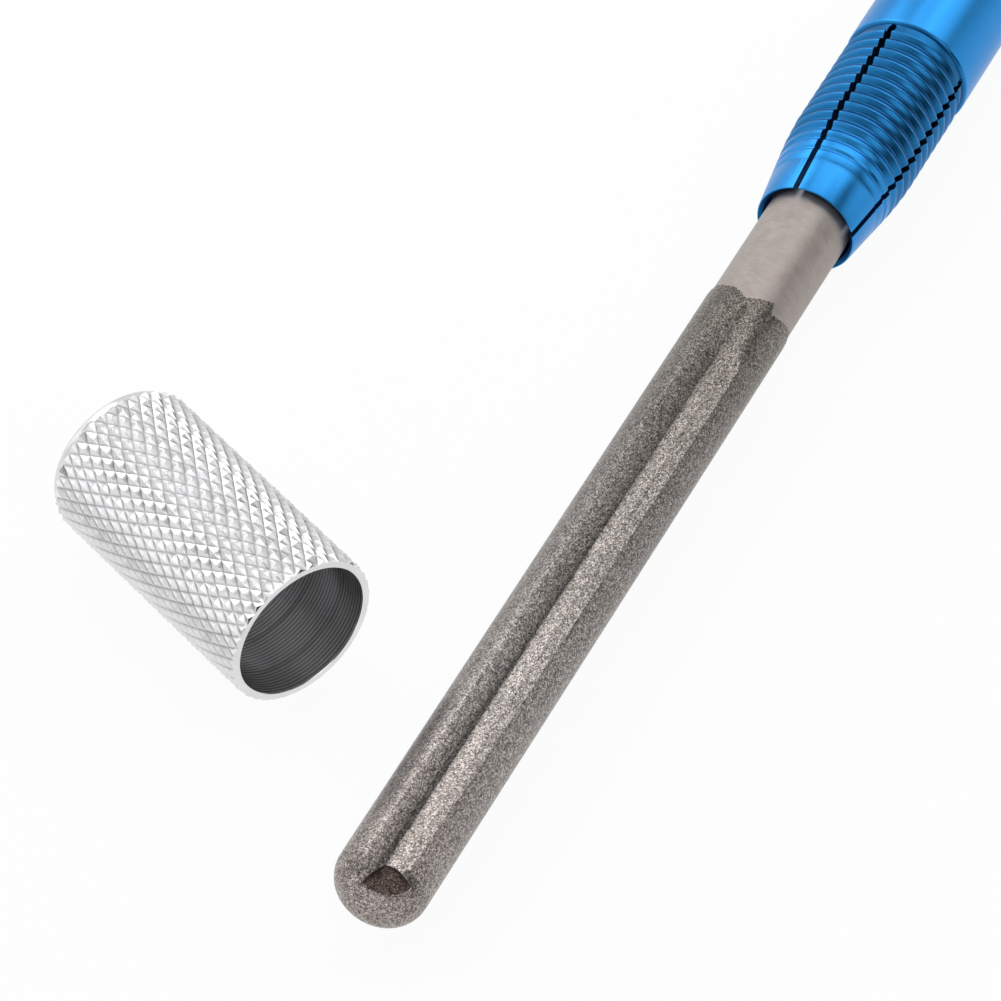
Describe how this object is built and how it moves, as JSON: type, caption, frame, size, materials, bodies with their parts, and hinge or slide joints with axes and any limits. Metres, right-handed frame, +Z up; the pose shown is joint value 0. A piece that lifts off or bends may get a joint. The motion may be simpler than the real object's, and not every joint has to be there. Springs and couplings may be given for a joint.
{
  "type": "diamond sharpening pen",
  "caption": "Pen-shaped sharpener: a diamond-coated grooved steel rod held by a split threaded collet in a round aluminium handle, with its knurled clamping nut taken off.",
  "frame": {"origin": "centre of the butt's flat end face, on the pen's axis", "axes": "+X along the pen towards the rod's tip, +Z up from the surface that the pen and its nut lie on"},
  "size_m": [0.179, 0.0418, 0.012],
  "materials": {
    "blue_anodised": "blue anodised, satin",
    "coated_steel": "bare steel shank, the rest plated with diamond grit",
    "bright_aluminium": "bright, knurled"
  },
  "bodies": {
    "handle": {"handle_tube": "blue_anodised", "butt_plug": "blue_anodised", "collet_nut": "bright_aluminium"},
    "rod": {"sharpening_rod": "coated_steel"}
  },
  "joints": [
    {"name": "rod_slide", "type": "slide", "parent": "handle", "child": "rod", "axis": [1, 0, 0], "range_m": [-0.071, 0.0055]}
  ]
}
